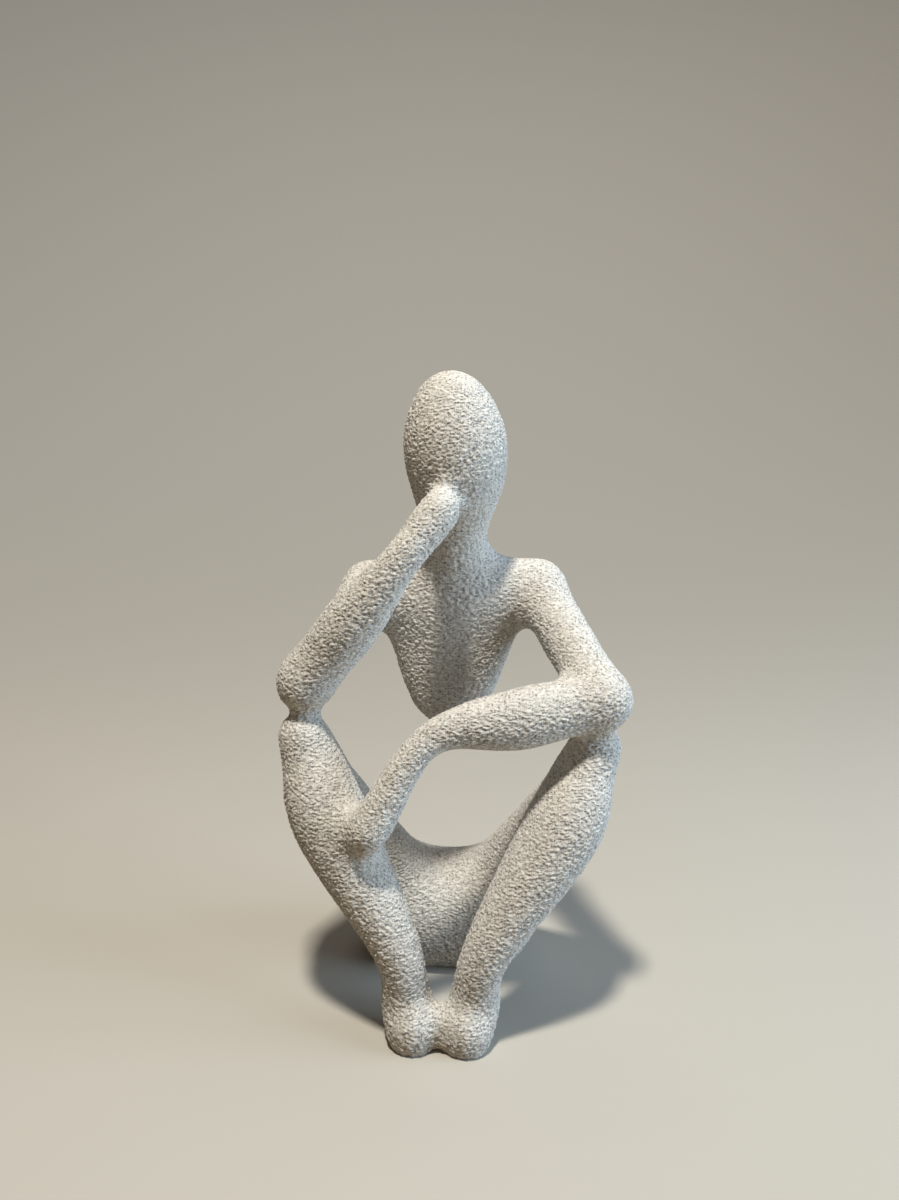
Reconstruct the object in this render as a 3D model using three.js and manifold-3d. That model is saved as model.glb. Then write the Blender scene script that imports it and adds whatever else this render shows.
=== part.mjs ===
// Meditating figure: a faceless seated sculpture, printed in sections that are doweled and glued together.
// Millimetres, +Z up. The figure faces -Y and its left side is +X. The ground is z = 0.

import * as THREE from 'three';
import { mergeVertices } from 'three/addons/utils/BufferGeometryUtils.js';
import Module from 'manifold-3d';

// Legs, from hip to foot: distances from the mid-plane, forward or back of the middle, and above the ground.
// A thigh, an upper arm and a forearm swell at this share of their length.
const swellShare = 0.5;
const hipSpread = 15.8;
const hipBack = 26;
const hipHeight = 22.5;
const hipRadius = 18.5;
const thighBow = 4;
const thighOut = 2.5;
const thighRadius = 12.8;
const kneeSpread = 55;
const kneeForward = 17;
const kneeHeight = 112.7;
const kneeRadius = 8;
const calfDrop = 27;
const calfBow = 3.5;
const calfRadius = 15;
const ankleSpread = 15.5;
const ankleForward = 36;
const ankleHeight = 35;
const ankleRadius = 9.2;
const heelSpread = 12.5;
const heelForward = 33;
const heelHeight = 13;
const heelRadius = 10.3;
const footSpread = 10;
const footForward = 37;
const footHeight = 8.7;
const footRadius = 11;

// Pelvis: the saddle between the hips
const pelvisRadius = 24.3;

// Torso: a flat shield that hangs from the shoulder line and ends in a round tip
const torsoShift = 1;
const shoulderSpread = 34;
const shoulderBack = 20;
const shoulderHeight = 165;
const shoulderTilt = 1.5;
const shoulderRadius = 10.5;
const girdleRadius = 12.5;
const chestHalfWidth = 26.5;
const chestHeight = 153;
const waistHalfWidth = 18.5;
const waistHeight = 127;
const tipHalfWidth = 9;
const tipHeight = 114;
const tipBack = 18;
const torsoFlatness = 0.58;

// Head: an egg on a short neck, its crown leaning to the figure's right
const neckRise = 22;
const neckForward = 8;
const neckRadius = 13.5;
const headRise = 56.5;
const headForward = 17;
const headHalfWidth = 19.7;
const headHalfDepth = 20;
const headHalfHeight = 29;
const headLean = 2;

// Arms: the elbows stand on the knees
const rightElbowOut = -0.5;
const leftElbowOut = 1.4;
const rightElbowBack = 1;
const leftElbowForward = 4;
const rightElbowGap = 3.5;
const leftElbowGap = 2;
const elbowRadius = 9.8;
const upperArmRadius = 10.3;
const forearmRadius = 11.3;
const rightWristRadius = 7.4;
const leftWristRadius = 6.4;
const handRadius = 8;

// Right hand, at the lower face
const rightHandOut = 4;
const rightHandDrop = 18;
const rightHandSink = 0;
const rightWristShare = 0.72;
const rightWristForward = 7;

// Left wrist, bent in front of the figure, and left hand, on the right shin
const leftWristOut = 5.6;
const leftWristForward = 34;
const leftWristHeight = 120;
const leftHandDrop = 35;
const leftHandTurn = 56;
const leftHandSink = 3.5;

// Blends between neighbouring forms, and where two limbs only touch
const hipBlend = 10;
const kneeBlend = 9;
const shoulderBlend = 7;
const girdleBlend = 16;
const neckBlend = 9;
const elbowBlend = 7;
const rightHandBlend = 4;
const leftHandBlend = 9;
const touchBlend = 4;
const footBlend = 1.5;

// Cuts between sections, and the dowels and pins that cross them
const glueGap = 0.3;
const cutMargin = 3.5;
const cutStep = 0.5;
const shoulderCutOut = 2.5;
const hipCutUp = 22;
const kneeCutForward = 5;
const kneeDowelDrop = 14;
const elbowCutBack = 5;
const elbowDowelReach = 8;
const dowelDiameter = 6;
const dowelLength = 15;
const pinDiameter = 3;
const pinLength = 9;
const holeClearance = 0.3;
const holeEndRoom = 0.4;
const dowelChamfer = 0.6;

// Facets
const skinCell = 5.2;
const stepsPerStation = 8;
const relaxRounds = 3;
const relaxShare = 0.6;
const cutSides = 8;
const reachSpokes = 24;
const dowelSides = 12;

// Finishes
const stoneFinish = { color: 0xd5d0c5, roughness: 0.92, metalness: 0 };
const dowelFinish = { color: 0xcfc9bd, roughness: 0.8, metalness: 0 };

const RIGHT = -1;
const LEFT = 1;
const SIDES = [RIGHT, LEFT];
const sideName = (side) => (side === RIGHT ? 'right' : 'left');
const point = (x, y, z) => new THREE.Vector3(x, y, z);
const between = (a, b, share) => a.clone().lerp(b, share);
const direction = (from, to) => to.clone().sub(from).normalize();
const offset = (from, heading, length) => from.clone().addScaledVector(heading, length);
const moved = (from, x, y, z) => from.clone().add(point(x, y, z));

// Skeleton: centres of the joints and of the swellings between them

const midBack = point(-torsoShift, shoulderBack, shoulderHeight);
const neck = moved(midBack, 0, -neckForward, neckRise);
const headCentre = moved(midBack, 0, -headForward, headRise);
const chest = point(-torsoShift, shoulderBack, chestHeight);
const waist = point(-torsoShift, tipBack, waistHeight);
const tip = point(-torsoShift, tipBack, tipHeight);
const pelvis = point(0, hipBack, hipHeight);

function legJoints(side) {
  const hip = point(side * hipSpread, hipBack, hipHeight);
  const knee = point(side * kneeSpread, -kneeForward, kneeHeight);
  const ankle = point(side * ankleSpread, -ankleForward, ankleHeight);
  const heel = point(side * heelSpread, -heelForward, heelHeight);
  const foot = point(side * footSpread, -footForward, footHeight);
  const thigh = moved(between(hip, knee, swellShare), side * thighOut, thighBow, 0);
  const calf = moved(downShin(knee, ankle, calfDrop), side * calfBow, 0, 0);
  return { hip, thigh, knee, calf, ankle, heel, foot };
}

// The place on the line from knee to ankle that lies a given height below the knee
function downShin(knee, ankle, drop) {
  return between(knee, ankle, drop / (knee.z - ankle.z));
}

const legs = new Map(SIDES.map((side) => [side, legJoints(side)]));
const { knee: rightKnee, ankle: rightAnkle } = legs.get(RIGHT);

function shoulderAt(side) {
  return moved(midBack, side * shoulderSpread, 0, side * shoulderTilt);
}

function elbowAt(side) {
  const elbowBack = side === RIGHT ? rightElbowBack : -leftElbowForward;
  const elbowOut = side === RIGHT ? rightElbowOut : leftElbowOut;
  const elbowGap = side === RIGHT ? rightElbowGap : leftElbowGap;
  const elbowRise = kneeRadius + elbowRadius + elbowGap;
  return moved(legs.get(side).knee, side * elbowOut, elbowBack, elbowRise);
}

// The right hand lies against the egg of the face, square to its surface
const faceAcross = -rightHandOut / headHalfWidth;
const faceUp = -rightHandDrop / headHalfHeight;
const faceBack = -Math.sqrt(1 - faceAcross ** 2 - faceUp ** 2);
const faceHalves = point(headHalfWidth, headHalfDepth, headHalfHeight);
const faceShares = point(faceAcross, faceBack, faceUp);
const faceSpot = headCentre.clone().add(faceShares.clone().multiply(faceHalves));
faceSpot.x -= headLean * faceUp;
const faceOutward = faceShares.clone().divide(faceHalves).normalize();
const rightHand = offset(faceSpot, faceOutward, handRadius - rightHandSink);
const rightWrist = moved(between(elbowAt(RIGHT), rightHand, rightWristShare), 0, -rightWristForward, 0);

// The left hand lies square to the right shin, part of the way round from its inner side to its front
const shinAxis = direction(rightKnee, rightAnkle);
const shinInner = point(1, 0, 0).addScaledVector(shinAxis, -shinAxis.x).normalize();
const leftHandSide = shinInner.applyAxisAngle(shinAxis, THREE.MathUtils.degToRad(leftHandTurn));
const shinSpot = offset(downShin(rightKnee, rightAnkle, leftHandDrop), leftHandSide, calfRadius);
const leftHand = offset(shinSpot, leftHandSide, handRadius - leftHandSink);
const leftWrist = point(-leftWristOut, -leftWristForward, leftWristHeight);

function armJoints(side) {
  const shoulder = shoulderAt(side);
  const elbow = elbowAt(side);
  const wrist = side === RIGHT ? rightWrist : leftWrist;
  const hand = side === RIGHT ? rightHand : leftHand;
  const biceps = between(shoulder, elbow, swellShare);
  const muscle = between(elbow, wrist, swellShare);
  return { shoulder, biceps, elbow, muscle, wrist, hand };
}

const arms = new Map(SIDES.map((side) => [side, armJoints(side)]));

// Forms: each returns the distance from a place to its surface, negative inside

// A limb is a row of stations, each a centre and a radius, strung on a smooth curve.
// A flatness below 1 makes it that much thinner from front to back.
function limb(stations, flatness = 1) {
  const steps = stepsPerStation * (stations.length - 1);
  const path = new THREE.CatmullRomCurve3(stations.map(([centre]) => centre)).getPoints(steps);
  const profile = stations.map(([, radius], index) => new THREE.Vector2(index, radius));
  const radii = new THREE.SplineCurve(profile).getPoints(steps).map((spot) => spot.y);
  return (x, y, z) => {
    let nearest = Infinity;
    for (let i = 0; i < steps; i += 1) {
      const start = path[i];
      const runX = path[i + 1].x - start.x;
      const runY = (path[i + 1].y - start.y) / flatness;
      const runZ = path[i + 1].z - start.z;
      const awayX = x - start.x;
      const awayY = (y - start.y) / flatness;
      const awayZ = z - start.z;
      const along = (awayX * runX + awayY * runY + awayZ * runZ) / (runX * runX + runY * runY + runZ * runZ);
      const share = Math.min(Math.max(along, 0), 1);
      const radius = radii[i] + share * (radii[i + 1] - radii[i]);
      const gap = Math.hypot(awayX - share * runX, awayY - share * runY, awayZ - share * runZ);
      nearest = Math.min(nearest, gap - radius);
    }
    return nearest;
  };
}

// An egg is an ellipsoid whose crown leans to one side
function egg(centre, halfWidth, halfDepth, halfHeight, lean) {
  return (x, y, z) => {
    const up = (z - centre.z) / halfHeight;
    const across = (x - centre.x + lean * up) / halfWidth;
    const back = (y - centre.y) / halfDepth;
    const size = Math.hypot(across, back, up);
    const slope = Math.hypot(across / halfWidth, back / halfDepth, up / halfHeight);
    return (size * (size - 1)) / slope;
  };
}

// A smooth union: two forms flow into each other over the blend's width
function blend(a, b, width) {
  const share = Math.max(width - Math.abs(a - b), 0) / width;
  return Math.min(a, b) - (share * share * width) / 4;
}

const forms = new Map(SIDES.map((side) => {
  const { hip, thigh, knee, calf, ankle, heel, foot } = legs.get(side);
  const { shoulder, biceps, elbow, muscle, wrist, hand } = arms.get(side);
  const wristRadius = side === RIGHT ? rightWristRadius : leftWristRadius;
  return [side, {
    thigh: limb([[hip, hipRadius], [thigh, thighRadius], [knee, kneeRadius]]),
    shin: limb([
      [knee, kneeRadius],
      [calf, calfRadius],
      [ankle, ankleRadius],
      [heel, heelRadius],
      [foot, footRadius],
    ]),
    upperArm: limb([[shoulder, shoulderRadius], [biceps, upperArmRadius], [elbow, elbowRadius]]),
    forearm: limb([[elbow, elbowRadius], [muscle, forearmRadius], [wrist, wristRadius], [hand, handRadius]]),
  }];
}));
const [rightHip, leftHip] = SIDES.map((side) => legs.get(side).hip);
const [rightShoulder, leftShoulder] = SIDES.map((side) => arms.get(side).shoulder);
const saddle = limb([[rightHip, pelvisRadius], [pelvis, pelvisRadius], [leftHip, pelvisRadius]]);
const girdle = limb([
  [rightShoulder, shoulderRadius],
  [midBack, girdleRadius],
  [leftShoulder, shoulderRadius],
]);
const shield = limb([[chest, chestHalfWidth], [waist, waistHalfWidth], [tip, tipHalfWidth]], torsoFlatness);
const throat = limb([[midBack, neckRadius], [neck, neckRadius], [headCentre, neckRadius]]);
const skull = egg(headCentre, headHalfWidth, headHalfDepth, headHalfHeight, headLean);

const right = forms.get(RIGHT);
const left = forms.get(LEFT);

function figureDistance(x, y, z) {
  const rightLeg = blend(right.thigh(x, y, z), right.shin(x, y, z), kneeBlend);
  const leftLeg = blend(left.thigh(x, y, z), left.shin(x, y, z), kneeBlend);
  const seat = blend(blend(rightLeg, leftLeg, footBlend), saddle(x, y, z), hipBlend);
  const trunk = blend(shield(x, y, z), girdle(x, y, z), girdleBlend);
  const upperArms = Math.min(right.upperArm(x, y, z), left.upperArm(x, y, z));
  const bust = blend(blend(trunk, upperArms, shoulderBlend), throat(x, y, z), neckBlend);
  const forearms = Math.min(right.forearm(x, y, z), left.forearm(x, y, z));
  const head = skull(x, y, z);
  const atNeck = blend(bust, head, neckBlend);
  const atElbows = blend(bust, forearms, elbowBlend);
  const atRightHand = blend(head, forearms, rightHandBlend);
  const atLeftHand = blend(right.shin(x, y, z), left.forearm(x, y, z), leftHandBlend);
  const upper = Math.min(atNeck, atElbows, atRightHand);
  return Math.min(blend(seat, upper, touchBlend), atLeftHand);
}

// Skin: the surface of the figure as facets

const wasm = await Module();
wasm.setup();

function asSolid(vertices, triangles) {
  const vertProperties = new Float32Array(vertices);
  const triVerts = new Uint32Array(triangles);
  return new wasm.Manifold(new wasm.Mesh({ numProp: 3, vertProperties, triVerts }));
}

// A grid cell: its corners are numbered by one bit for each axis, and four edges go round each of its faces
const AXES = Object.keys(point(0, 0, 0)).map((_, index) => index);
const CORNERS = Array.from({ length: 2 ** AXES.length }, (_, corner) => corner);
const bitOf = (corner, axis) => (corner >> axis) & 1;
const cornerSteps = CORNERS.map((corner) => AXES.map((axis) => bitOf(corner, axis)));
const cellEdges = AXES.flatMap((axis) => CORNERS
  .filter((corner) => bitOf(corner, axis) === 0)
  .map((start) => ({ axis, start, end: start | (1 << axis) })));
const cellFaces = AXES.flatMap((axis) => [0, 1].map((bit) => cellEdges
  .filter((edge) => edge.axis !== axis && bitOf(edge.start, axis) === bit)));

// The crossed edges of a cell, grouped by the sheet of surface that they lie on.
// Where a face is crossed by two sheets, each sheet goes round its own inside corner.
function sheetsOf(inside) {
  const crossed = cellEdges.filter(({ start, end }) => inside[start] !== inside[end]);
  const insideCorner = ({ start, end }) => (inside[start] ? start : end);
  const labels = new Map(crossed.map((edge, index) => [edge, index]));
  for (const face of cellFaces) {
    const onFace = face.filter((edge) => labels.has(edge));
    for (const edge of onFace) {
      const isPartner = (other) => onFace.length === 2 || insideCorner(other) === insideCorner(edge);
      const joined = onFace.filter(isPartner).map((other) => labels.get(other));
      for (const [other, label] of labels) if (joined.includes(label)) labels.set(other, joined[0]);
    }
  }
  return [...new Set(labels.values())].map((label) => crossed.filter((edge) => labels.get(edge) === label));
}

// One vertex for each sheet of surface in a grid cell, and one four-sided facet across each crossed edge
function skin(distance, low, high, cell) {
  const counts = high.clone().sub(low).divideScalar(cell).ceil().addScalar(1);
  const strides = [1, counts.x, counts.x * counts.y];
  const stepTo = (corner) => AXES.reduce((sum, axis) => sum + bitOf(corner, axis) * strides[axis], 0);
  const cornerOffsets = CORNERS.map(stepTo);
  const inGrid = (visit, lowest, margin) => {
    for (let k = lowest; k < counts.z - margin; k += 1) {
      for (let j = lowest; j < counts.y - margin; j += 1) {
        for (let i = lowest; i < counts.x - margin; i += 1) {
          visit(i * strides[0] + j * strides[1] + k * strides[2], i, j, k);
        }
      }
    }
  };

  const samples = new Float64Array(counts.x * counts.y * counts.z);
  inGrid((index, i, j, k) => {
    samples[index] = distance(low.x + i * cell, low.y + j * cell, low.z + k * cell);
  }, 0, 0);

  const vertices = [];
  const vertexAt = new Map();
  const keyOf = (cellIndex, axis, corner) => (cellIndex * AXES.length + axis) * CORNERS.length + corner;
  inGrid((index, i, j, k) => {
    const values = cornerOffsets.map((step) => samples[index + step]);
    const inside = values.map((value) => value < 0);
    const first = moved(low, i * cell, j * cell, k * cell);
    for (const sheet of sheetsOf(inside)) {
      const mean = point(0, 0, 0);
      for (const { axis, start, end } of sheet) {
        const share = values[start] / (values[start] - values[end]);
        const crossing = point(...cornerSteps[start]).lerp(point(...cornerSteps[end]), share);
        mean.addScaledVector(crossing, 1 / sheet.length);
        vertexAt.set(keyOf(index, axis, start), vertices.length);
      }
      const place = settle(distance, offset(first, mean, cell), cell);
      vertices.push(place.clamp(first, first.clone().addScalar(cell)));
    }
  }, 0, 1);

  const quads = [];
  inGrid((index) => {
    for (const axis of AXES) {
      const inside = samples[index] < 0;
      if (inside === samples[index + strides[axis]] < 0) continue;
      const u = 1 << ((axis + 1) % 3);
      const v = 1 << ((axis + 2) % 3);
      const keys = [u | v, v, 0, u].map((corner) => keyOf(index - stepTo(corner), axis, corner));
      const quad = keys.map((key) => vertexAt.get(key));
      quads.push(inside ? quad : quad.reverse());
    }
  }, 1, 1);
  relax(distance, vertices, quads, cell);
  const triangles = quads.flatMap((quad) => split(vertices, quad));
  return asSolid(vertices.flatMap((place) => place.toArray()), triangles);
}

// Evens out the facets: each vertex moves to the middle of its neighbours, then back onto the surface
function relax(distance, vertices, quads, cell) {
  for (let round = 0; round < relaxRounds; round += 1) {
    const sums = vertices.map(() => point(0, 0, 0));
    const counts = vertices.map(() => 0);
    for (const quad of quads) {
      quad.forEach((vertex, corner) => {
        sums[vertex].add(vertices[quad[(corner + 1) % 4]]);
        counts[vertex] += 1;
      });
    }
    vertices.forEach((place, vertex) => {
      place.lerp(sums[vertex].divideScalar(counts[vertex]), relaxShare);
      settle(distance, place, cell);
    });
  }
}

// Two triangles of a four-sided facet, across its shorter diagonal
function split(vertices, quad) {
  const [a, b, c, d] = quad;
  const first = vertices[a].distanceTo(vertices[c]);
  const second = vertices[b].distanceTo(vertices[d]);
  return first < second ? [a, b, c, a, c, d] : [b, c, d, b, d, a];
}

// Moves a place near the surface onto it, down the slope of the distance
function settle(distance, place, cell) {
  const reach = cell / 20;
  const slopeAlong = ({ x, y, z }, { x: dx, y: dy, z: dz }) =>
    (distance(x + dx, y + dy, z + dz) - distance(x - dx, y - dy, z - dz)) / (2 * reach);
  for (let round = 0; round < 2; round += 1) {
    const slope = point(
      slopeAlong(place, point(reach, 0, 0)),
      slopeAlong(place, point(0, reach, 0)),
      slopeAlong(place, point(0, 0, reach)),
    );
    place.addScaledVector(slope, -distance(place.x, place.y, place.z) / slope.lengthSq());
  }
  return place;
}

const reachOut = 2 * Math.max(hipRadius, pelvisRadius, chestHalfWidth, headHalfWidth);
const frameBox = new THREE.Box3();
for (const side of SIDES) {
  const places = [...Object.values(legs.get(side)), ...Object.values(arms.get(side))];
  for (const place of places) frameBox.expandByPoint(place);
}
frameBox.expandByPoint(headCentre).expandByScalar(reachOut);
const frameSize = frameBox.getSize(point(0, 0, 0)).length();
const ground = new THREE.BoxGeometry(frameSize, frameSize, frameSize).translate(0, 0, -frameSize / 2);
const body = skin(figureDistance, frameBox.min, frameBox.max, skinCell).subtract(solidOf(ground));

// Joints: where the sections meet, and which way the dowel or pin runs

const dowel = { diameter: dowelDiameter, length: dowelLength };
const pin = { diameter: pinDiameter, length: pinLength };

function shoulderJoint(side) {
  const heading = direction(midBack, arms.get(side).shoulder);
  const centre = offset(midBack, heading, chestHalfWidth + shoulderCutOut);
  return { name: `${sideName(side)}_shoulder_dowel`, centre, heading, ...dowel };
}

function hipJoint(side) {
  const { hip, thigh } = legs.get(side);
  const heading = direction(hip, thigh);
  return { name: `${sideName(side)}_hip_dowel`, centre: offset(hip, heading, hipCutUp), heading, ...dowel };
}

// The elbow stands on the knee at the narrowest place between the forearm and the knee
function elbowRest(side) {
  const { elbow, wrist } = arms.get(side);
  const { knee } = legs.get(side);
  const forearmSpot = new THREE.Line3(elbow, wrist).closestPointToPoint(knee, true, point(0, 0, 0));
  const heading = direction(knee, forearmSpot);
  const centre = between(knee, forearmSpot, kneeRadius / (kneeRadius + elbowRadius));
  return { name: `${sideName(side)}_elbow_rest_pin`, centre, heading, ...pin };
}

// A bend is cut across, between its two limbs, to one side of the joint so that the joint's end stays whole
function bendJoint(name, joint, firstEnd, secondEnd, reach, shift) {
  const first = direction(joint, firstEnd);
  const second = direction(joint, secondEnd);
  const heading = first.clone().sub(second).normalize();
  const inward = first.clone().add(second).normalize();
  const centre = offset(offset(joint, inward, reach), heading, shift);
  return { name, centre, heading, ...dowel };
}

function kneeJoint(side) {
  const { knee, hip, ankle } = legs.get(side);
  return bendJoint(`${sideName(side)}_knee_dowel`, knee, hip, ankle, kneeDowelDrop, -kneeCutForward);
}

function elbowJoint(side) {
  const { elbow, shoulder, wrist } = arms.get(side);
  return bendJoint(`${sideName(side)}_elbow_dowel`, elbow, shoulder, wrist, elbowDowelReach, elbowCutBack);
}

const footJoint = {
  name: 'foot_pin',
  centre: point(0, -footForward, footHeight),
  heading: point(1, 0, 0),
  reach: 2 * footRadius,
  ...pin,
};
const necks = [
  { name: 'neck_dowel', centre: neck, heading: direction(midBack, headCentre), ...dowel },
  ...SIDES.map(shoulderJoint),
  ...SIDES.map(hipJoint),
  ...SIDES.map(elbowRest),
  { name: 'right_hand_pin', centre: faceSpot, heading: faceOutward, ...pin },
  { name: 'left_hand_pin', centre: shinSpot, heading: leftHandSide, ...pin },
  footJoint,
];
const knees = new Map(SIDES.map((side) => [side, kneeJoint(side)]));
const elbows = new Map(SIDES.map((side) => [side, elbowJoint(side)]));
const joints = [...necks, ...knees.values(), ...elbows.values()];

// Cuts

function solidOf(geometry) {
  geometry.deleteAttribute('normal');
  geometry.deleteAttribute('uv');
  const merged = mergeVertices(geometry);
  return asSolid(merged.getAttribute('position').array, merged.getIndex().array);
}

function turnTo(heading) {
  return new THREE.Quaternion().setFromUnitVectors(point(0, 1, 0), heading);
}

function rod(centre, heading, radius, length, sides) {
  const geometry = new THREE.CylinderGeometry(radius, radius, length, sides);
  geometry.applyQuaternion(turnTo(heading)).translate(centre.x, centre.y, centre.z);
  return solidOf(geometry);
}

// How far a neck of material reaches from its centre, in the plane across its heading
function neckReach({ centre, heading }) {
  const turn = turnTo(heading);
  const spokeReach = (angle) => {
    const spoke = point(Math.cos(angle), 0, Math.sin(angle)).applyQuaternion(turn);
    const place = centre.clone();
    const inFigure = () => place.z > 0 && figureDistance(place.x, place.y, place.z) < 0;
    while (inFigure()) place.addScaledVector(spoke, cutStep);
    return place.distanceTo(centre);
  };
  const angles = Array.from({ length: reachSpokes }, (_, index) => (2 * Math.PI * index) / reachSpokes);
  return Math.max(...angles.map(spokeReach)) + cutMargin;
}

const hole = ({ centre, heading, diameter, length }) =>
  rod(centre, heading, (diameter + holeClearance) / 2, length + 2 * holeEndRoom, dowelSides);
const saw = ({ centre, heading }, reach) =>
  rod(centre, heading, reach / Math.cos(Math.PI / cutSides), glueGap, cutSides);

// A joint taken apart: its hole is drilled and its cut is sawn
const parted = (solid, joint, radius) => solid.subtract(hole(joint)).subtract(saw(joint, radius));

// The one piece of a cut solid that holds a given place
function pieceAt(solid, place) {
  const probe = rod(place, point(0, 1, 0), glueGap, glueGap, dowelSides);
  return solid.decompose().find((piece) => piece.intersect(probe).volume() > 0);
}

const freed = necks.reduce((solid, joint) => parted(solid, joint, joint.reach ?? neckReach(joint)), body);
const bent = (place, joint) => parted(pieceAt(freed, place), joint, shoulderHeight);
const sections = [
  { name: 'head', solid: freed, place: headCentre },
  { name: 'torso', solid: freed, place: chest },
  { name: 'pelvis', solid: freed, place: pelvis },
];
for (const side of SIDES) {
  const { biceps, muscle } = arms.get(side);
  const { thigh, ankle } = legs.get(side);
  const arm = bent(muscle, elbows.get(side));
  const leg = bent(ankle, knees.get(side));
  sections.push(
    { name: `${sideName(side)}_upper_arm`, solid: arm, place: biceps },
    { name: `${sideName(side)}_forearm`, solid: arm, place: muscle },
    { name: `${sideName(side)}_thigh`, solid: leg, place: thigh },
    { name: `${sideName(side)}_shin`, solid: leg, place: ankle },
  );
}

// Meshes

function sectionMesh({ name, solid, place }) {
  const { vertProperties, triVerts } = pieceAt(solid, place).getMesh();
  const geometry = new THREE.BufferGeometry();
  geometry.setAttribute('position', new THREE.BufferAttribute(vertProperties, 3));
  geometry.setIndex(new THREE.BufferAttribute(triVerts, 1));
  geometry.translate(-place.x, -place.y, -place.z);
  geometry.computeVertexNormals();
  const mesh = new THREE.Mesh(geometry, new THREE.MeshStandardMaterial(stoneFinish));
  mesh.name = name;
  mesh.position.copy(place);
  return mesh;
}

function dowelMesh({ name, centre, heading, diameter, length }) {
  const radius = diameter / 2;
  const end = length / 2;
  const profile = [[0, -end], [radius - dowelChamfer, -end], [radius, dowelChamfer - end],
    [radius, end - dowelChamfer], [radius - dowelChamfer, end], [0, end]];
  const geometry = new THREE.LatheGeometry(profile.map(([x, y]) => new THREE.Vector2(x, y)), dowelSides);
  const mesh = new THREE.Mesh(geometry, new THREE.MeshStandardMaterial(dowelFinish));
  mesh.name = name;
  mesh.position.copy(centre);
  mesh.quaternion.copy(turnTo(heading));
  return mesh;
}

const figure = new THREE.Group();
for (const section of sections) figure.add(sectionMesh(section));
for (const joint of joints) figure.add(dowelMesh(joint));

// The origin is under the middle of the figure, on the ground
const extent = new THREE.Box3().setFromObject(figure);
const middle = extent.getCenter(point(0, 0, 0));
figure.position.set(-middle.x, -middle.y, 0);

export default figure;
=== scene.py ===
# %% [markdown]
# # A seated thinker, printed in stone-effect plastic
# The object is a faceless figure that sits with its knees up, its elbows on them, one hand at its face
# and the other arm laid across. It is printed in off-white filament with grey flecks, with the fuzzy
# outer wall that hides the layers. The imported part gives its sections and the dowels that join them,
# at their real size. This script puts the printed skin on them and never moves them.

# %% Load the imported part
import math

import bmesh
import bpy
import numpy as np
from mathutils import Matrix, Vector


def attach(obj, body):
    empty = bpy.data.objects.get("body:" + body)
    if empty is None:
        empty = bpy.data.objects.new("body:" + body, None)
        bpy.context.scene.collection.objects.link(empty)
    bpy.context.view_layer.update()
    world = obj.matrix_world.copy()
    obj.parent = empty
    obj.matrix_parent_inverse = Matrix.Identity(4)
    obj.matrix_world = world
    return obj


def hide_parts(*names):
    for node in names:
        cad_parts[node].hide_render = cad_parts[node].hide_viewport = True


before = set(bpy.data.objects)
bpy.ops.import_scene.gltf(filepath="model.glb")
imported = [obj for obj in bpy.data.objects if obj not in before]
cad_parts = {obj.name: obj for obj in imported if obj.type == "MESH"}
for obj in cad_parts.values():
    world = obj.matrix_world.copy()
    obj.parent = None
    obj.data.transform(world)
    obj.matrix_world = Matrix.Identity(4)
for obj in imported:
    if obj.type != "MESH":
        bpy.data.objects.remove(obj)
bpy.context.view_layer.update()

MM = 0.001

# %% [markdown]
# ## Camera
# The view is from a little above the head, close by, and looking slightly down. The lens is set in
# pixels of the picture's height, which is easy to read off a photograph, and turned into millimetres
# for Blender.

# %% Camera at the photograph's viewing angle
PHOTO_HEIGHT = 1200
FOCAL_PIXELS = 900
SENSOR_HEIGHT = 36
NEAREST_SEEN = 10 * MM
CAMERA_PLACE = Vector((9.4, -341.9, 228.5)) * MM
CAMERA_TURN = math.radians(2.0)
CAMERA_PITCH = math.radians(10.7)
CAMERA_ROLL = math.radians(1.5)

camera_data = bpy.data.cameras.new("camera")
camera_data.sensor_fit = "VERTICAL"
camera_data.sensor_height = SENSOR_HEIGHT
camera_data.lens = SENSOR_HEIGHT * FOCAL_PIXELS / PHOTO_HEIGHT
camera_data.clip_start = NEAREST_SEEN
camera = bpy.data.objects.new("camera", camera_data)
bpy.context.scene.collection.objects.link(camera)
camera.matrix_world = (
    Matrix.Translation(CAMERA_PLACE)
    @ Matrix.Rotation(CAMERA_TURN, 4, "Z")
    @ Matrix.Rotation(math.pi / 2 - CAMERA_PITCH, 4, "X")
    @ Matrix.Rotation(CAMERA_ROLL, 4, "Z")
)
bpy.context.scene.camera = camera
print("lens in mm:", camera_data.lens)

# %% [markdown]
# ## Nodes by name
# Both the skin and the finishes are node trees. One helper places a node, sets its options and fills
# or links its inputs by their names, so that a tree reads as a list of steps. A node such as Blur
# Attribute has one input of each type under the same name, and only the one in use is enabled.

# %% Helpers for node trees
def socket_of(sockets, key):
    """The socket with that name, or at that place, among those that the node's options leave in use."""
    if isinstance(key, int):
        return sockets[key]
    return next(socket for socket in sockets if socket.name == key and socket.enabled)


def add(tree, kind, inputs, result=0, **settings):
    """Places a node and returns its result socket. Each input is a value, or a socket to link."""
    node = tree.nodes.new(kind)
    for name, value in settings.items():
        setattr(node, name, value)
    for key, value in inputs.items():
        socket = socket_of(node.inputs, key)
        if isinstance(value, bpy.types.NodeSocket):
            tree.links.new(value, socket)
        else:
            socket.default_value = value
    return socket_of(node.outputs, result)


def compute(tree, operation, *values):
    """A Math node on up to three values."""
    return add(tree, "ShaderNodeMath", dict(enumerate(values)), operation=operation)


def combine(tree, operation, *vectors):
    """A Vector Math node on up to three vectors."""
    return add(tree, "ShaderNodeVectorMath", dict(enumerate(vectors)), operation=operation)


def scaled(tree, vector, factor):
    """A vector times a number."""
    return add(tree, "ShaderNodeVectorMath", {"Vector": vector, "Scale": factor}, operation="SCALE")


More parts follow.
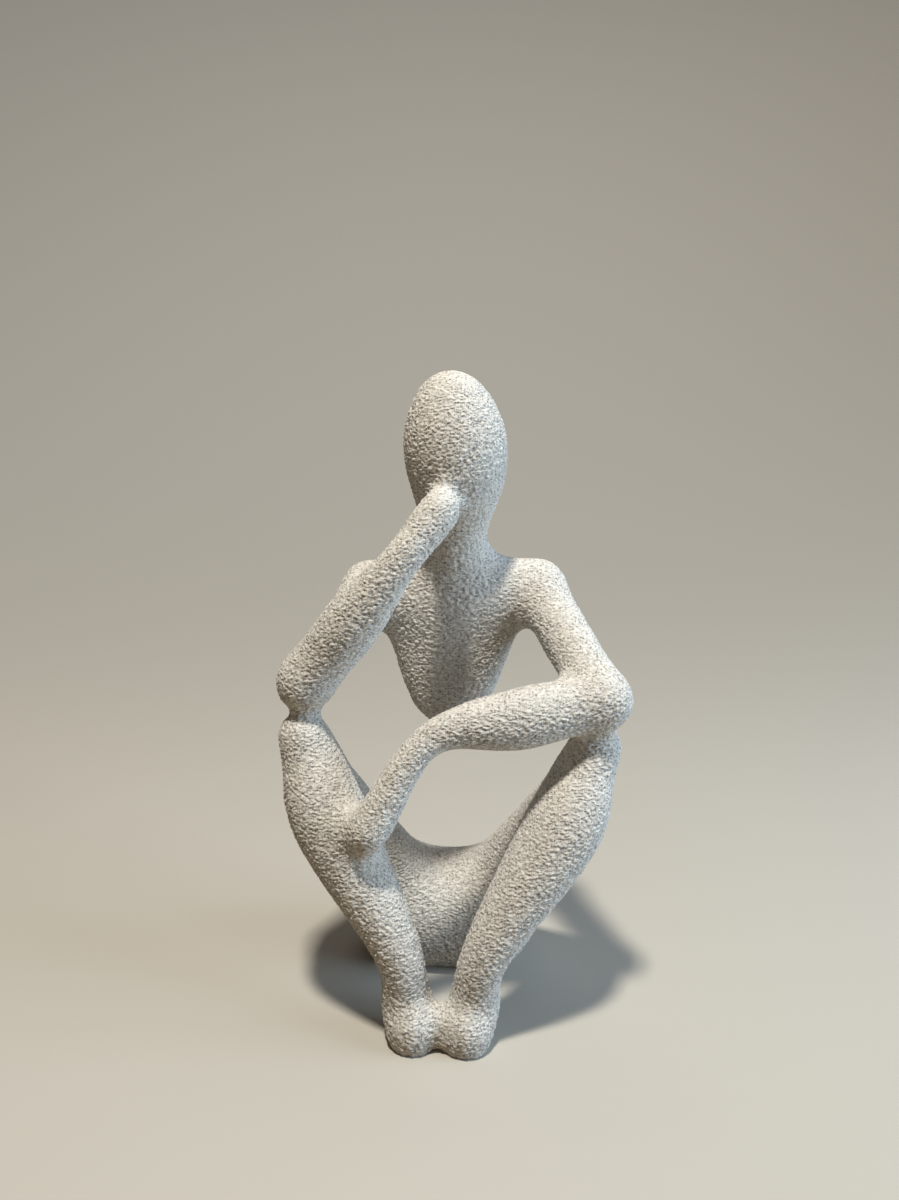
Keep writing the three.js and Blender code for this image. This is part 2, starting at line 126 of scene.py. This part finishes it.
def remap(tree, value, low, high, to_low, to_high, interpolation="SMOOTHSTEP"):
    """A value from one range to another, held at the ends."""
    inputs = {"Value": value, "From Min": low, "From Max": high, "To Min": to_low, "To Max": to_high}
    return add(tree, "ShaderNodeMapRange", inputs, interpolation_type=interpolation)


def new_tree(name, kind, inputs, outputs):
    """A node tree with named inputs and outputs. Returns the tree, its inputs and its output node."""
    tree = bpy.data.node_groups.new(name, kind)
    for label, socket_type in inputs.items():
        tree.interface.new_socket(name=label, in_out="INPUT", socket_type=socket_type)
    for label, socket_type in outputs.items():
        tree.interface.new_socket(name=label, in_out="OUTPUT", socket_type=socket_type)
    given = tree.nodes.new("NodeGroupInput").outputs
    taken = tree.nodes.new("NodeGroupOutput").inputs
    return tree, given, taken


# %% [markdown]
# ## Finishes
# The filament is off-white with dark flecks that a nozzle has smeared a little along the layers. Two
# sizes of Voronoi cells, of which only some hold a fleck, give that. The layers themselves are too
# fine to model on a wall, so both printed finishes share a group that gives their ripple as a height.

# %% Shader group for the layers of a print
FLOAT = "NodeSocketFloat"
VECTOR = "NodeSocketVector"


def print_layers_group():
    """The ripple of stacked layers, as a height from 0 to 1 that wanders a little up and down."""
    group, given, taken = new_tree(
        "Print layers",
        "ShaderNodeTree",
        {"Vector": VECTOR, "Layer Height": FLOAT, "Wander": FLOAT, "Wander Length": FLOAT},
        {"Height": FLOAT},
    )
    across = compute(group, "DIVIDE", 1.0, given["Wander Length"])
    drift = add(group, "ShaderNodeTexNoise", {"Vector": given["Vector"], "Scale": across, "Detail": 1.0})
    height = add(group, "ShaderNodeSeparateXYZ", {"Vector": given["Vector"]}, result="Z")
    layer = compute(group, "DIVIDE", height, given["Layer Height"])
    phase = compute(group, "MULTIPLY_ADD", drift, given["Wander"], layer)
    turn = compute(group, "MULTIPLY", phase, 2 * math.pi)
    wave = compute(group, "SINE", turn)
    half = compute(group, "MULTIPLY_ADD", wave, 0.5, 0.5)
    group.links.new(half, taken["Height"])
    return group


print_layers = print_layers_group()
print("shader group:", print_layers.name)

# %% Shader group for the flecks
FLECK_EDGE = (0.3, 0.7)


def fleck_group():
    """Soft dark flecks of one size: 1 in a fleck, 0 between. Coverage is the share of cells with one."""
    group, given, taken = new_tree(
        "Stone flecks",
        "ShaderNodeTree",
        {"Vector": VECTOR, "Spacing": FLOAT, "Size": FLOAT, "Coverage": FLOAT, "Flatness": FLOAT},
        {"Fleck": FLOAT},
    )
    squeeze = add(group, "ShaderNodeCombineXYZ", {"X": 1.0, "Y": 1.0, "Z": given["Flatness"]})
    place = combine(group, "MULTIPLY", given["Vector"], squeeze)
    density = compute(group, "DIVIDE", 1.0, given["Spacing"])
    cells = group.nodes.new("ShaderNodeTexVoronoi")
    group.links.new(place, cells.inputs["Vector"])
    group.links.new(density, cells.inputs["Scale"])
    share = compute(group, "DIVIDE", given["Size"], given["Spacing"])
    out = compute(group, "DIVIDE", cells.outputs["Distance"], share)
    spot = remap(group, out, *FLECK_EDGE, 1.0, 0.0)
    draw = add(group, "ShaderNodeSeparateColor", {"Color": cells.outputs["Color"]}, result="Red")
    chosen = compute(group, "LESS_THAN", draw, given["Coverage"])
    group.links.new(compute(group, "MULTIPLY", spot, chosen), taken["Fleck"])
    return group


stone_flecks = fleck_group()
print("shader group:", stone_flecks.name)

# %% Stone-effect finish of the sections
STONE_PALE = (0.82, 0.805, 0.775, 1.0)
# Colour painted into the hollows of the relief as shade
STONE_PAINTED_SHADE = (0.50, 0.485, 0.46, 1.0)
STONE_ROUGHNESS = 0.82
FLECK_GREY = (0.115, 0.112, 0.108, 1.0)
# Spacing, size and the share of cells that hold a fleck, for each size of fleck
FLECK_SIZES = ((1.2 * MM, 0.8 * MM, 0.5), (0.7 * MM, 0.5 * MM, 0.4))
FLECK_STRENGTH = 0.75
FLECK_FLATNESS = 1.5
LAYER_HEIGHT = 0.2 * MM
STONE_LAYERS = {"Layer Height": LAYER_HEIGHT, "Wander": 1.5, "Wander Length": 2 * MM}
LAYER_SHARE = 0.2
GRAIN_SIZE = 0.6 * MM
GRAIN_BUMP = {"Strength": 0.8, "Distance": 0.2 * MM}
RELIEF = "relief"


def new_material(name, roughness):
    """A material with its tree, the point to be finished, and the Principled shader."""
    material = bpy.data.materials.new(name)
    material.use_nodes = True
    shader = material.node_tree.nodes["Principled BSDF"]
    shader.inputs["Roughness"].default_value = roughness
    place = add(material.node_tree, "ShaderNodeTexCoord", {}, result="Object")
    return material, material.node_tree, place, shader


def mixed(tree, factor, first, second):
    """A colour between two, each a socket or a value."""
    inputs = {"Factor": factor, "A": first, "B": second}
    return add(tree, "ShaderNodeMix", inputs, result="Result", data_type="RGBA")


def stone_finish():
    """Off-white plastic with painted shade in the hollows of its relief, and two sizes of grey flecks.
    """
    material, tree, place, shader = new_material("stone_print", STONE_ROUGHNESS)
    relief = add(tree, "ShaderNodeAttribute", {}, result="Fac", attribute_name=RELIEF)
    # Painted shade: the lower the relief, the darker the colour, so the hollows look shaded
    colour = mixed(tree, relief, STONE_PAINTED_SHADE, STONE_PALE)
    for spacing, size, coverage in FLECK_SIZES:
        inputs = {
            "Vector": place,
            "Spacing": spacing,
            "Size": size,
            "Coverage": coverage,
            "Flatness": FLECK_FLATNESS,
        }
        fleck = add(tree, "ShaderNodeGroup", inputs, node_tree=stone_flecks)
        strength = compute(tree, "MULTIPLY", fleck, FLECK_STRENGTH)
        colour = mixed(tree, strength, colour, FLECK_GREY)
    tree.links.new(colour, shader.inputs["Base Color"])
    layers = add(tree, "ShaderNodeGroup", {"Vector": place} | STONE_LAYERS, node_tree=print_layers)
    squeezed = combine(tree, "MULTIPLY", place, (1.0, 1.0, FLECK_FLATNESS))
    grain = add(tree, "ShaderNodeTexNoise", {"Vector": squeezed, "Scale": 1 / GRAIN_SIZE, "Detail": 1.0})
    height = compute(tree, "MULTIPLY_ADD", layers, LAYER_SHARE, grain)
    bump = add(tree, "ShaderNodeBump", {"Height": height} | GRAIN_BUMP)
    tree.links.new(bump, shader.inputs["Normal"])
    return material


stone_print = stone_finish()
print("finish:", stone_print.name)

# %% Plain printed finish of the dowels and pins
DOWEL_PALE = (0.74, 0.72, 0.68, 1.0)
# Colour painted into the grooves between layers as shade
DOWEL_PAINTED_SHADE = (0.62, 0.60, 0.56, 1.0)
DOWEL_ROUGHNESS = 0.55
DOWEL_LAYERS = {"Layer Height": LAYER_HEIGHT, "Wander": 0.3, "Wander Length": 4 * MM}
DOWEL_BUMP = {"Strength": 0.5, "Distance": 0.05 * MM}


def plain_finish():
    """Smooth pale plastic with its layers left to see, and painted shade in the grooves between them."""
    material, tree, place, shader = new_material("plain_print", DOWEL_ROUGHNESS)
    layers = add(tree, "ShaderNodeGroup", {"Vector": place} | DOWEL_LAYERS, node_tree=print_layers)
    tree.links.new(mixed(tree, layers, DOWEL_PAINTED_SHADE, DOWEL_PALE), shader.inputs["Base Color"])
    bump = add(tree, "ShaderNodeBump", {"Height": layers} | DOWEL_BUMP)
    tree.links.new(bump, shader.inputs["Normal"])
    return material


plain_print = plain_finish()
print("finish:", plain_print.name)

# %% [markdown]
# ## The sections as one body
# The print has one unbroken skin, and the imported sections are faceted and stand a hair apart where
# they are glued. So copies of all of them are joined, each face keeping the number of its section,
# swollen until the glue gaps close, and remeshed to one even skin. The swelling is taken back later.

# %% Join merged copies of the nodes
SECTION = "section"
GAP_CLOSING = 0.2 * MM
VOXEL = 0.82 * MM
MERGE_WITHIN = 0.001 * MM

section_names = sorted(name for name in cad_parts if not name.endswith(("_dowel", "_pin")))
pin_names = sorted(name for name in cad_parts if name.endswith("_pin"))
peg_names = pin_names + sorted(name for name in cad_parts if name.endswith("_dowel"))


def joined_copy(names):
    """One mesh of merged copies of those nodes, with the number of its node on each face."""
    joined = bmesh.new()
    layer = joined.faces.layers.int.new(SECTION)
    for number, name in enumerate(names):
        before = len(joined.faces)
        joined.faces.ensure_lookup_table()
        joined.from_mesh(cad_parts[name].data)
        joined.faces.ensure_lookup_table()
        for face in joined.faces[before:]:
            face[layer] = number
    bmesh.ops.remove_doubles(joined, verts=joined.verts, dist=MERGE_WITHIN)
    mesh = bpy.data.meshes.new("joined")
    joined.to_mesh(mesh)
    joined.free()
    return mesh


def placed(name, mesh):
    """A new object in the scene for that mesh."""
    item = bpy.data.objects.new(name, mesh)
    bpy.context.scene.collection.objects.link(item)
    return item


cad_sections = placed("cad_sections", joined_copy(section_names))
body = placed("body", joined_copy(section_names + peg_names))
swell = body.modifiers.new("close the glue gaps", "DISPLACE")
swell.mid_level = 0
swell.strength = GAP_CLOSING
remesh = body.modifiers.new("one even skin", "REMESH")
remesh.mode = "VOXEL"
remesh.voxel_size = VOXEL
print("sections:", len(section_names), "dowels and pins:", len(peg_names))

# %% [markdown]
# ## The printed skin
# A slicer makes this finish by shaking the nozzle sideways while it draws each outer wall. Walls come
# out with short wavy ridges that lie along the layers, and level places such as the crown and the
# knees show the layers as rings instead. The rule is the same all over, so a Geometry Nodes tree
# makes it: smooth the facets away, split the mesh finer, push the walls sideways by a noise that is
# stretched along the layers, and step the level places.

# %% Sizes of the printed skin
SKIN_SIZES = {
    "Smoothing Rounds": 24,
    "Gap Closing": GAP_CLOSING,
    "Ridge Length": 1.5 * MM,
    "Ridge Height": 0.58 * MM,
    "Ridge Depth": 0.8 * MM,
    "Wave Length": 3.5 * MM,
    "Wave Height": 0.9 * MM,
    "Ring Height": 0.28 * MM,
    "Bed Press": 2.2 * MM,
    "Seed": 7.0,
}
SKIN_SOCKETS = {name: FLOAT for name in SKIN_SIZES} | {"Smoothing Rounds": "NodeSocketInt"}
print("inputs of the skin:", list(SKIN_SIZES))

# %% Smooth the facets away
def blurred(tree, value, rounds):
    """A vector averaged with its neighbours' again and again."""
    inputs = {"Value": value, "Iterations": rounds}
    return add(tree, "GeometryNodeBlurAttribute", inputs, data_type="FLOAT_VECTOR")


def without_facets(tree, geometry, rounds):
    """Blurs the facets away. The second blur gives back what the first one shrinks."""
    place = add(tree, "GeometryNodeInputPosition", {})
    once = blurred(tree, place, rounds)
    twice = blurred(tree, once, rounds)
    kept = combine(tree, "SUBTRACT", scaled(tree, once, 2.0), twice)
    moved = add(tree, "GeometryNodeSetPosition", {"Geometry": geometry, "Position": kept})
    return add(tree, "GeometryNodeSubdivisionSurface", {"Mesh": moved, "Level": 1})

# %% Ridges on the walls and rings on level places
RELIEF_RANGE = (0.28, 0.72)
STEP_EDGE = (0.35, 0.65)
LEVEL_RANGE = (0.86, 0.97)


def with_relief(tree, geometry, given):
    """Stores how high each point stands on the ridges, from 0 to 1."""
    place = add(tree, "GeometryNodeInputPosition", {})
    waves = compute(tree, "DIVIDE", 1.0, given["Wave Length"])
    wave = add(tree, "ShaderNodeTexNoise", {"Vector": place, "Scale": waves, "Detail": 1.0})
    lift = compute(tree, "MULTIPLY", compute(tree, "SUBTRACT", wave, 0.5), given["Wave Height"])
    wavy = combine(tree, "ADD", place, add(tree, "ShaderNodeCombineXYZ", {"Z": lift}))
    length, height = given["Ridge Length"], given["Ridge Height"]
    size = add(tree, "ShaderNodeCombineXYZ", {"X": length, "Y": length, "Z": height})
    stretched = combine(tree, "DIVIDE", wavy, size)
    inputs = {"Vector": stretched, "W": given["Seed"], "Scale": 1.0, "Detail": 0.5, "Roughness": 0.6}
    noise = add(tree, "ShaderNodeTexNoise", inputs, noise_dimensions="4D")
    relief = remap(tree, noise, *RELIEF_RANGE, 0.0, 1.0, interpolation="LINEAR")
    inputs = {"Geometry": geometry, "Name": RELIEF, "Value": relief}
    return add(tree, "GeometryNodeStoreNamedAttribute", inputs, data_type="FLOAT", domain="POINT")


def ring_lift(tree, height, level, given):
    """How far a level place is lifted or lowered to its layer's step."""
    layer = compute(tree, "DIVIDE", height, given["Ring Height"])
    share = compute(tree, "FRACT", layer)
    step = remap(tree, share, *STEP_EDGE, 0.0, 1.0)
    lift = compute(tree, "MULTIPLY", compute(tree, "SUBTRACT", step, share), given["Ring Height"])
    return compute(tree, "MULTIPLY", lift, remap(tree, level, *LEVEL_RANGE, 0.0, 1.0))


def with_ridges(tree, geometry, given):
    """Moves the skin in by its ridges, takes the swelling back and steps level places."""
    relief = add(tree, "GeometryNodeInputNamedAttribute", {"Name": RELIEF}, data_type="FLOAT")
    normal = add(tree, "GeometryNodeInputNormal", {})
    sideways = combine(tree, "MULTIPLY", normal, (1.0, 1.0, 0.0))
    inward = compute(tree, "SUBTRACT", relief, 1.0)
    ridge = scaled(tree, sideways, compute(tree, "MULTIPLY", inward, given["Ridge Depth"]))
    taken_back = scaled(tree, normal, compute(tree, "MULTIPLY", given["Gap Closing"], -1.0))
    place = add(tree, "GeometryNodeInputPosition", {})
    height = add(tree, "ShaderNodeSeparateXYZ", {"Vector": place}, result="Z")
    level = add(tree, "ShaderNodeSeparateXYZ", {"Vector": normal}, result="Z")
    ring = add(tree, "ShaderNodeCombineXYZ", {"Z": ring_lift(tree, height, level, given)})
    shift = combine(tree, "ADD", combine(tree, "ADD", ridge, taken_back), ring)
    return add(tree, "GeometryNodeSetPosition", {"Geometry": geometry, "Offset": shift})

# %% Underside and section numbers
PRESS_REACH = 5.0


def pressed_flat(tree, geometry, given):
    """Lays what is within the press's depth of the print bed on it, and eases the skin just above."""
    place = add(tree, "GeometryNodeInputPosition", {})
    parts = tree.nodes.new("ShaderNodeSeparateXYZ")
    tree.links.new(place, parts.inputs["Vector"])
    free = compute(tree, "MULTIPLY", given["Bed Press"], PRESS_REACH)
    held = remap(tree, parts.outputs["Z"], given["Bed Press"], free, 0.0, free, interpolation="LINEAR")
    near = compute(tree, "LESS_THAN", parts.outputs["Z"], free)
    switch = {"Switch": near, "False": parts.outputs["Z"], "True": held}
    height = add(tree, "GeometryNodeSwitch", switch, input_type="FLOAT")
    inputs = {"X": parts.outputs["X"], "Y": parts.outputs["Y"], "Z": height}
    laid = add(tree, "ShaderNodeCombineXYZ", inputs)
    return add(tree, "GeometryNodeSetPosition", {"Geometry": geometry, "Position": laid})


def with_section_numbers(tree, geometry, sections):
    """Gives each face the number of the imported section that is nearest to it."""
    source = add(tree, "GeometryNodeObjectInfo", {"Object": sections}, result="Geometry")
    number = add(tree, "GeometryNodeInputNamedAttribute", {"Name": SECTION}, data_type="INT",
                 result="Attribute")
    nearest = add(tree, "GeometryNodeSampleNearestSurface", {"Mesh": source, "Value": number},
                  data_type="INT", result="Value")
    inputs = {"Geometry": geometry, "Name": SECTION, "Value": nearest}
    return add(tree, "GeometryNodeStoreNamedAttribute", inputs, data_type="INT", domain="FACE")

# %% Geometry Nodes tree of the printed skin
def printed_skin_tree():
    """The whole skin, from a remeshed body to a finished print."""
    tree, given, taken = new_tree(
        "Printed skin",
        "GeometryNodeTree",
        {"Geometry": "NodeSocketGeometry", "Sections": "NodeSocketObject"}
        | SKIN_SOCKETS
        | {"Finish": "NodeSocketMaterial"},
        {"Geometry": "NodeSocketGeometry"},
    )
    smooth = without_facets(tree, given["Geometry"], given["Smoothing Rounds"])
    marked = with_relief(tree, smooth, given)
    ridged = with_ridges(tree, marked, given)
    laid = pressed_flat(tree, ridged, given)
    numbered = with_section_numbers(tree, laid, given["Sections"])
    shaded = add(tree, "GeometryNodeSetShadeSmooth", {"Geometry": numbered})
    real = add(tree, "GeometryNodeRealizeInstances", {"Geometry": shaded})
    finished = add(tree, "GeometryNodeSetMaterial", {"Geometry": real, "Material": given["Finish"]})
    tree.links.new(finished, taken["Geometry"])
    return tree


printed_skin = printed_skin_tree()
print("nodes in the skin's tree:", len(printed_skin.nodes))

# %% Run the tree on the body
skin = body.modifiers.new("printed skin", "NODES")
skin.node_group = printed_skin
skin_inputs = SKIN_SIZES | {"Sections": cad_sections, "Finish": stone_print}
for item in skin.node_group.interface.items_tree:
    if item.in_out == "INPUT" and item.name in skin_inputs:
        skin[item.identifier] = skin_inputs[item.name]

evaluated = body.evaluated_get(bpy.context.evaluated_depsgraph_get())
whole = bpy.data.meshes.new_from_object(evaluated)
body.modifiers.clear()
print("skin faces:", len(whole.polygons))

# %% [markdown]
# ## Sections cut at their joints
# Each dowel or pin crosses the joint that it holds, so its middle and its axis give the plane of the
# cut. The skin is cut along the ring in which that plane meets it round the peg, and both sides get a
# flat face with a socket at once, so that a later cut may cross an earlier one. Cut at every joint, the
# skin falls into its sections.

# %% Measure the joints from the dowels and pins
SOCKET_FIT = 0.15 * MM


def coordinates(mesh):
    """A mesh's points as an array of rows."""
    flat = np.empty(len(mesh.vertices) * 3, np.float32)
    mesh.vertices.foreach_get("co", flat)
    return flat.reshape(-1, 3)


def measured_peg(name):
    """A dowel's or pin's middle, axis, radius and half length."""
    points = coordinates(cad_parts[name].data).astype(float)
    middle = (points.min(0) + points.max(0)) / 2
    spread = np.linalg.svd(points - points.mean(0), full_matrices=False)[2]
    along = [np.ptp(points @ axis) for axis in spread]
    axis = spread[int(np.argmax(along))]
    away = points - middle
    out = np.linalg.norm(away - np.outer(away @ axis, axis), axis=1)
    return {
        "middle": Vector(middle),
        "axis": Vector(axis),
        "radius": float(out.max()) + SOCKET_FIT,
        "half": float(max(along)) / 2 + SOCKET_FIT,
    }


pegs = [measured_peg(name) for name in peg_names]
for peg_name, peg in zip(peg_names, pegs):
    print(peg_name, "socket in mm:", round(2 * peg["radius"] / MM, 2), "by", round(peg["half"] / MM, 2))

# %% Cut the skin at a joint and close it on both sides
SOCKET_SIDES = 24
WHOLE_NORMAL = "whole_normal"
CUT_FACE = "cut_face"


def offset_from(peg, place):
    """How far a place lies ahead of a joint's plane."""
    return (place - peg["middle"]).dot(peg["axis"])


def ring_from(start, peg):
    """The faces in the ring along which a joint's plane crosses the skin, found from one of them."""
    ring = {start}
    front = [start]
    while front:
        for edge in front.pop().edges:
            if (offset_from(peg, edge.verts[0].co) > 0) != (offset_from(peg, edge.verts[1].co) > 0):
                fresh = [face for face in edge.link_faces if face not in ring]
                ring.update(fresh)
                front.extend(fresh)
    return ring


def socket_ring(work, peg, depth):
    """A ring of points for a socket's rim or floor, that far along the peg's axis."""
    across = peg["axis"].orthogonal().normalized()
    upward = peg["axis"].cross(across)
    ring = []
    for turn in range(SOCKET_SIDES):
        angle = 2 * math.pi * turn / SOCKET_SIDES
        spoke = math.cos(angle) * across + math.sin(angle) * upward
        ring.append(work.verts.new(peg["middle"] + depth * peg["axis"] + peg["radius"] * spoke))
    return ring


def close_side(work, edges, peg, inward):
    """Closes one side of a cut with a flat face and sinks the peg's socket into it."""
    rim = socket_ring(work, peg, 0)
    floor = socket_ring(work, peg, inward * peg["half"])
    rim_edges = [work.edges.new((rim[turn - 1], rim[turn])) for turn in range(SOCKET_SIDES)]
    outward = -inward * peg["axis"]
    filled = bmesh.ops.triangle_fill(work, edges=edges + rim_edges, normal=outward, use_beauty=True)
    level = [element for element in filled["geom"] if isinstance(element, bmesh.types.BMFace)]
    level.append(work.faces.new(floor))
    walls = [
        work.faces.new((rim[turn - 1], rim[turn], floor[turn], floor[turn - 1]))
        for turn in range(SOCKET_SIDES)
    ]
    layer = work.faces.layers.int[CUT_FACE]
    for face in level + walls:
        face[layer] = 1
        face.normal_update()
    for face in level:
        if face.normal.dot(outward) < 0:
            face.normal_flip()
    for face in walls:
        away = face.calc_center_median() - peg["middle"]
        if face.normal.dot(away - away.dot(outward) * outward) > 0:
            face.normal_flip()


def cut_joint(work, start, peg):
    """Cuts the skin along a joint's ring, parts it there and closes both sides."""
    ring = ring_from(start, peg)
    parts = {element for face in ring for element in (*face.verts, *face.edges, face)}
    cut = bmesh.ops.bisect_plane(
        work, geom=list(parts), dist=MERGE_WITHIN, plane_co=peg["middle"], plane_no=peg["axis"]
    )
    edges = [element for element in cut["geom_cut"] if isinstance(element, bmesh.types.BMEdge)]
    bmesh.ops.split_edges(work, edges=edges)
    faces = [element for element in cut["geom"] if isinstance(element, bmesh.types.BMFace)]
    for inward in (-1, 1):
        mine = [face for face in faces if inward * offset_from(peg, face.calc_center_median()) > 0]
        rim = {edge for face in mine for edge in face.edges if edge.is_boundary}
        close_side(work, list(rim), peg, inward)


# %% Cut the skin at every joint
def edges_round(mesh, peg):
    """The numbers of the edges that a joint's plane crosses, from the peg's axis outward."""
    ends = np.empty(len(mesh.edges) * 2, np.int32)
    mesh.edges.foreach_get("vertices", ends)
    away = coordinates(mesh).astype(float) - np.array(peg["middle"])
    along = away @ np.array(peg["axis"])
    out = np.linalg.norm(away - np.outer(along, np.array(peg["axis"])), axis=1)
    ends = ends.reshape(-1, 2)
    crossed = np.flatnonzero((along[ends[:, 0]] > 0) != (along[ends[:, 1]] > 0))
    return crossed[np.argsort(out[ends[crossed, 0]])]


def cut_at_joints(mesh):
    """Cuts the skin at each joint in turn."""
    starts = [edges_round(mesh, peg) for peg in pegs]
    normals = np.empty(len(mesh.vertices) * 3, np.float32)
    mesh.vertices.foreach_get("normal", normals)
    mesh.attributes.new(WHOLE_NORMAL, "FLOAT_VECTOR", "POINT").data.foreach_set("vector", normals)
    mesh.attributes.new(CUT_FACE, "INT", "FACE")
    work = bmesh.new()
    work.from_mesh(mesh)
    edges = list(work.edges)
    for peg, candidates in zip(pegs, starts):
        start = next(edges[index] for index in candidates if edges[index].is_valid)
        cut_joint(work, start.link_faces[0], peg)
    work.to_mesh(mesh)
    work.free()


cut_at_joints(whole)
print("skin faces after the cuts:", len(whole.polygons))

# %% One closed piece for each section
FEWEST_FACES = 1000


def parted(mesh):
    """The parts that the cut skin falls into, as new objects, without any crumbs."""
    for other in bpy.context.selected_objects:
        other.select_set(False)
    item = placed("whole", mesh)
    bpy.context.view_layer.objects.active = item
    item.select_set(True)
    bpy.ops.mesh.separate(type="LOOSE")
    parts = list(bpy.context.selected_objects)
    crumbs = [part for part in parts if len(part.data.polygons) < FEWEST_FACES]
    for crumb in crumbs:
        bpy.data.objects.remove(crumb)
    print("parts:", len(parts) - len(crumbs), "crumbs:", len(crumbs))
    return [part for part in parts if part not in crumbs]


def section_of(mesh):
    """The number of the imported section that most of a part's faces are nearest to."""
    numbers = np.empty(len(mesh.polygons), np.int32)
    mesh.attributes[SECTION].data.foreach_get("value", numbers)
    return int(np.bincount(numbers).argmax())


def open_edges(mesh):
    """The number of edges that do not have two faces."""
    edges = np.empty(len(mesh.loops), np.int32)
    mesh.loops.foreach_get("edge_index", edges)
    return int((np.bincount(edges, minlength=len(mesh.edges)) != 2).sum())


def set_normals(mesh):
    """Keeps the whole skin's normals on a part, so that no joint shows, and its cuts flat."""
    totals = np.empty(len(mesh.polygons), np.int32)
    mesh.polygons.foreach_get("loop_total", totals)
    corners = np.empty(len(mesh.loops), np.int32)
    mesh.loops.foreach_get("vertex_index", corners)
    flat = np.empty(len(mesh.polygons) * 3, np.float32)
    mesh.polygons.foreach_get("normal", flat)
    cut = np.empty(len(mesh.polygons), np.int32)
    mesh.attributes[CUT_FACE].data.foreach_get("value", cut)
    smooth = np.empty(len(mesh.vertices) * 3, np.float32)
    mesh.attributes[WHOLE_NORMAL].data.foreach_get("vector", smooth)
    on_cut = np.repeat(cut, totals)[:, None] > 0
    flat_normals = np.repeat(flat.reshape(-1, 3), totals, axis=0)
    normals = np.where(on_cut, flat_normals, smooth.reshape(-1, 3)[corners])
    mesh.polygons.foreach_set("use_smooth", np.ones(len(mesh.polygons), bool))
    mesh.normals_split_custom_set(normals.tolist())


for section in parted(whole):
    section_name = section_names[section_of(section.data)]
    set_normals(section.data)
    section.name = f"{section_name}_skin"
    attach(section, "root")
    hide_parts(section_name)
    triangles = sum(polygon.loop_total - 2 for polygon in section.data.polygons)
    print(section_name, "triangles:", triangles, "open edges:", open_edges(section.data))

for helper in (body, cad_sections):
    bpy.data.objects.remove(helper)

# %% [markdown]
# ## Dowels and pins
# The dowels and pins sit inside the sections, out of sight. They are plain printed rods, so the packed
# ones serve as they are and only get their finish.

# %% Finish of the dowels and pins
for peg_name in peg_names:
    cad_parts[peg_name].material_slots[0].material = plain_print
print("dowels and pins finished:", len(peg_names))

# %% [markdown]
# ## Floor and light
# A plain pale floor that rises into a backdrop has no edge to distract from the figure. It is pale to
# the camera and darker to the light that bounces off it, so that undersides stay in shade. A small
# lamp overhead and a little to the front casts the head's shadow on the chest and the arm's on the
# leg, a cool lamp on the right draws the edges there, a third lamp lights the backdrop, and a faint
# world fills the shadows.

# %% Floor and backdrop
FLAT_RADIUS = 0.25
FLOOR_RADIUS = 2.4
WALL_HEIGHT = 2.4
FLOOR_SIDES = 96
FLOOR_STEPS = 40
FLOOR_SEEN = (0.50, 0.48, 0.44, 1.0)
FLOOR_BOUNCE = (0.27, 0.22, 0.16, 1.0)
FLOOR_ROUGHNESS = 0.9


def studio_bowl():
    """A floor that is flat under the figure and rises ever more steeply all round."""
    shares = np.linspace(0, 1, FLOOR_STEPS)
    reach = FLOOR_RADIUS - FLAT_RADIUS
    profile = [(FLAT_RADIUS + share * reach, WALL_HEIGHT * share**3) for share in shares]
    work = bmesh.new()
    rings = []
    for radius, height in profile:
        angles = [2 * math.pi * turn / FLOOR_SIDES for turn in range(FLOOR_SIDES)]
        ring = [work.verts.new((radius * math.cos(a), radius * math.sin(a), height)) for a in angles]
        rings.append(ring)
    work.faces.new(rings[0])
    for low, high in zip(rings, rings[1:]):
        for turn in range(FLOOR_SIDES):
            work.faces.new((low[turn - 1], low[turn], high[turn], high[turn - 1])).smooth = True
    mesh = bpy.data.meshes.new("studio_floor")
    work.to_mesh(mesh)
    work.free()
    return mesh


floor_finish, floor_tree, floor_place, floor_shader = new_material("floor_paper", FLOOR_ROUGHNESS)
seen = add(floor_tree, "ShaderNodeLightPath", {}, result="Is Camera Ray")
floor_colour = mixed(floor_tree, seen, FLOOR_BOUNCE, FLOOR_SEEN)
floor_tree.links.new(floor_colour, floor_shader.inputs["Base Color"])
floor = placed("studio_floor", studio_bowl())
floor.data.materials.append(floor_finish)
print("floor across in m:", 2 * FLOOR_RADIUS)

# %% Lamps and world
FIGURE = Vector((0, 0, 0.11))
BACKDROP = Vector((0, 2.0, 0.9))
WARM = (1.0, 0.93, 0.81)
COOL = (0.64, 0.83, 1.0)
NEUTRAL = (1.0, 0.97, 0.92)
WORLD_COLOUR = (0.92, 0.96, 1.0, 1.0)
WORLD_STRENGTH = 0.08


def lamp(name, place, size, watts, colour, aim):
    """A square area lamp that looks at a place."""
    data = bpy.data.lights.new(name, "AREA")
    data.size = size
    data.energy = watts
    data.color = colour
    item = bpy.data.objects.new(name, data)
    bpy.context.scene.collection.objects.link(item)
    item.location = place
    item.rotation_euler = (aim - Vector(place)).to_track_quat("-Z", "Y").to_euler()


lamp("overhead", place=(-0.1, -0.4, 1.25), size=0.1, watts=16.5, colour=WARM, aim=FIGURE)
lamp("side", place=(0.9, -0.2, 0.35), size=0.6, watts=8.5, colour=COOL, aim=FIGURE)
lamp("backdrop", place=(0, 0.5, 1.6), size=0.8, watts=10.0, colour=NEUTRAL, aim=BACKDROP)

world = bpy.data.worlds.new("world")
world.use_nodes = True
background = world.node_tree.nodes["Background"]
background.inputs["Color"].default_value = WORLD_COLOUR
background.inputs["Strength"].default_value = WORLD_STRENGTH
bpy.context.scene.world = world
bpy.context.scene.view_settings.view_transform = "Standard"
print("lamps:", [item.name for item in bpy.data.lights])
